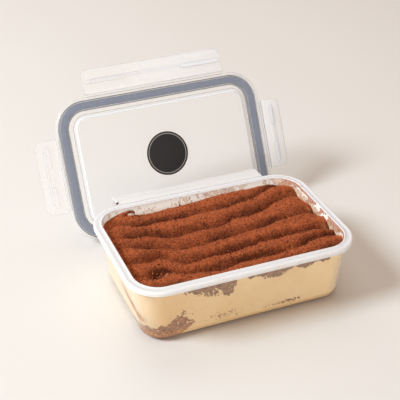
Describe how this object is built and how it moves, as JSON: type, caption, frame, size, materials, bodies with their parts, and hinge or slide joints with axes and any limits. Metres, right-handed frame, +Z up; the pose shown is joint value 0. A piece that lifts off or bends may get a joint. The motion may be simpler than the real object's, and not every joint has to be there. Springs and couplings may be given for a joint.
{
  "type": "tiramisu in a clear clip-lock food box",
  "caption": "Tiramisu with a wavy cocoa-dusted top, cream and sponge fingers in a clear rounded box, its gasketed clip-lock lid leaning open behind.",
  "frame": {"origin": "middle of the box's flat underside", "axes": "+X along the box's long side to the right, +Y to the back where the lid stands, +Z up"},
  "size_m": [0.2568, 0.2493, 0.1444],
  "materials": {
    "clear_box": "clear, slightly milky polypropylene, glossy",
    "clear_lid": "clear moulded plastic, glossy",
    "gasket": "soft blue-grey silicone",
    "label": "matt black sticker with a thin pale ring",
    "cocoa": "dry powdery cocoa",
    "cream": "smooth soft mascarpone cream",
    "biscuit": "coffee-soaked sponge, fine pores"
  },
  "bodies": {
    "box_and_lid": {"tub": "clear_box", "ladyfingers": "biscuit", "cream": "cream", "cocoa": "cocoa", "lid_panel": "clear_lid", "gasket": "gasket", "label": "label", "flap_hooked": "clear_lid"},
    "left_lock": {"flap_left": "clear_lid"},
    "right_lock": {"flap_right": "clear_lid"},
    "top_lock": {"flap_top": "clear_lid"}
  },
  "joints": [
    {"name": "left_lock_hinge", "type": "hinge", "parent": "box_and_lid", "child": "left_lock", "pos_m": [-0.10497, 0.12836, 0.06322], "axis": [0.0141, -0.4739, -0.8805], "range_deg": [-30, 78]},
    {"name": "right_lock_hinge", "type": "hinge", "parent": "box_and_lid", "child": "right_lock", "pos_m": [0.10873, 0.1347, 0.06322], "axis": [-0.0141, 0.4739, 0.8805], "range_deg": [-30, 78]},
    {"name": "top_lock_hinge", "type": "hinge", "parent": "box_and_lid", "child": "top_lock", "pos_m": [0.0009, 0.16466, 0.12477], "axis": [-0.9996, -0.0297, 0], "range_deg": [-30, 78]}
  ]
}
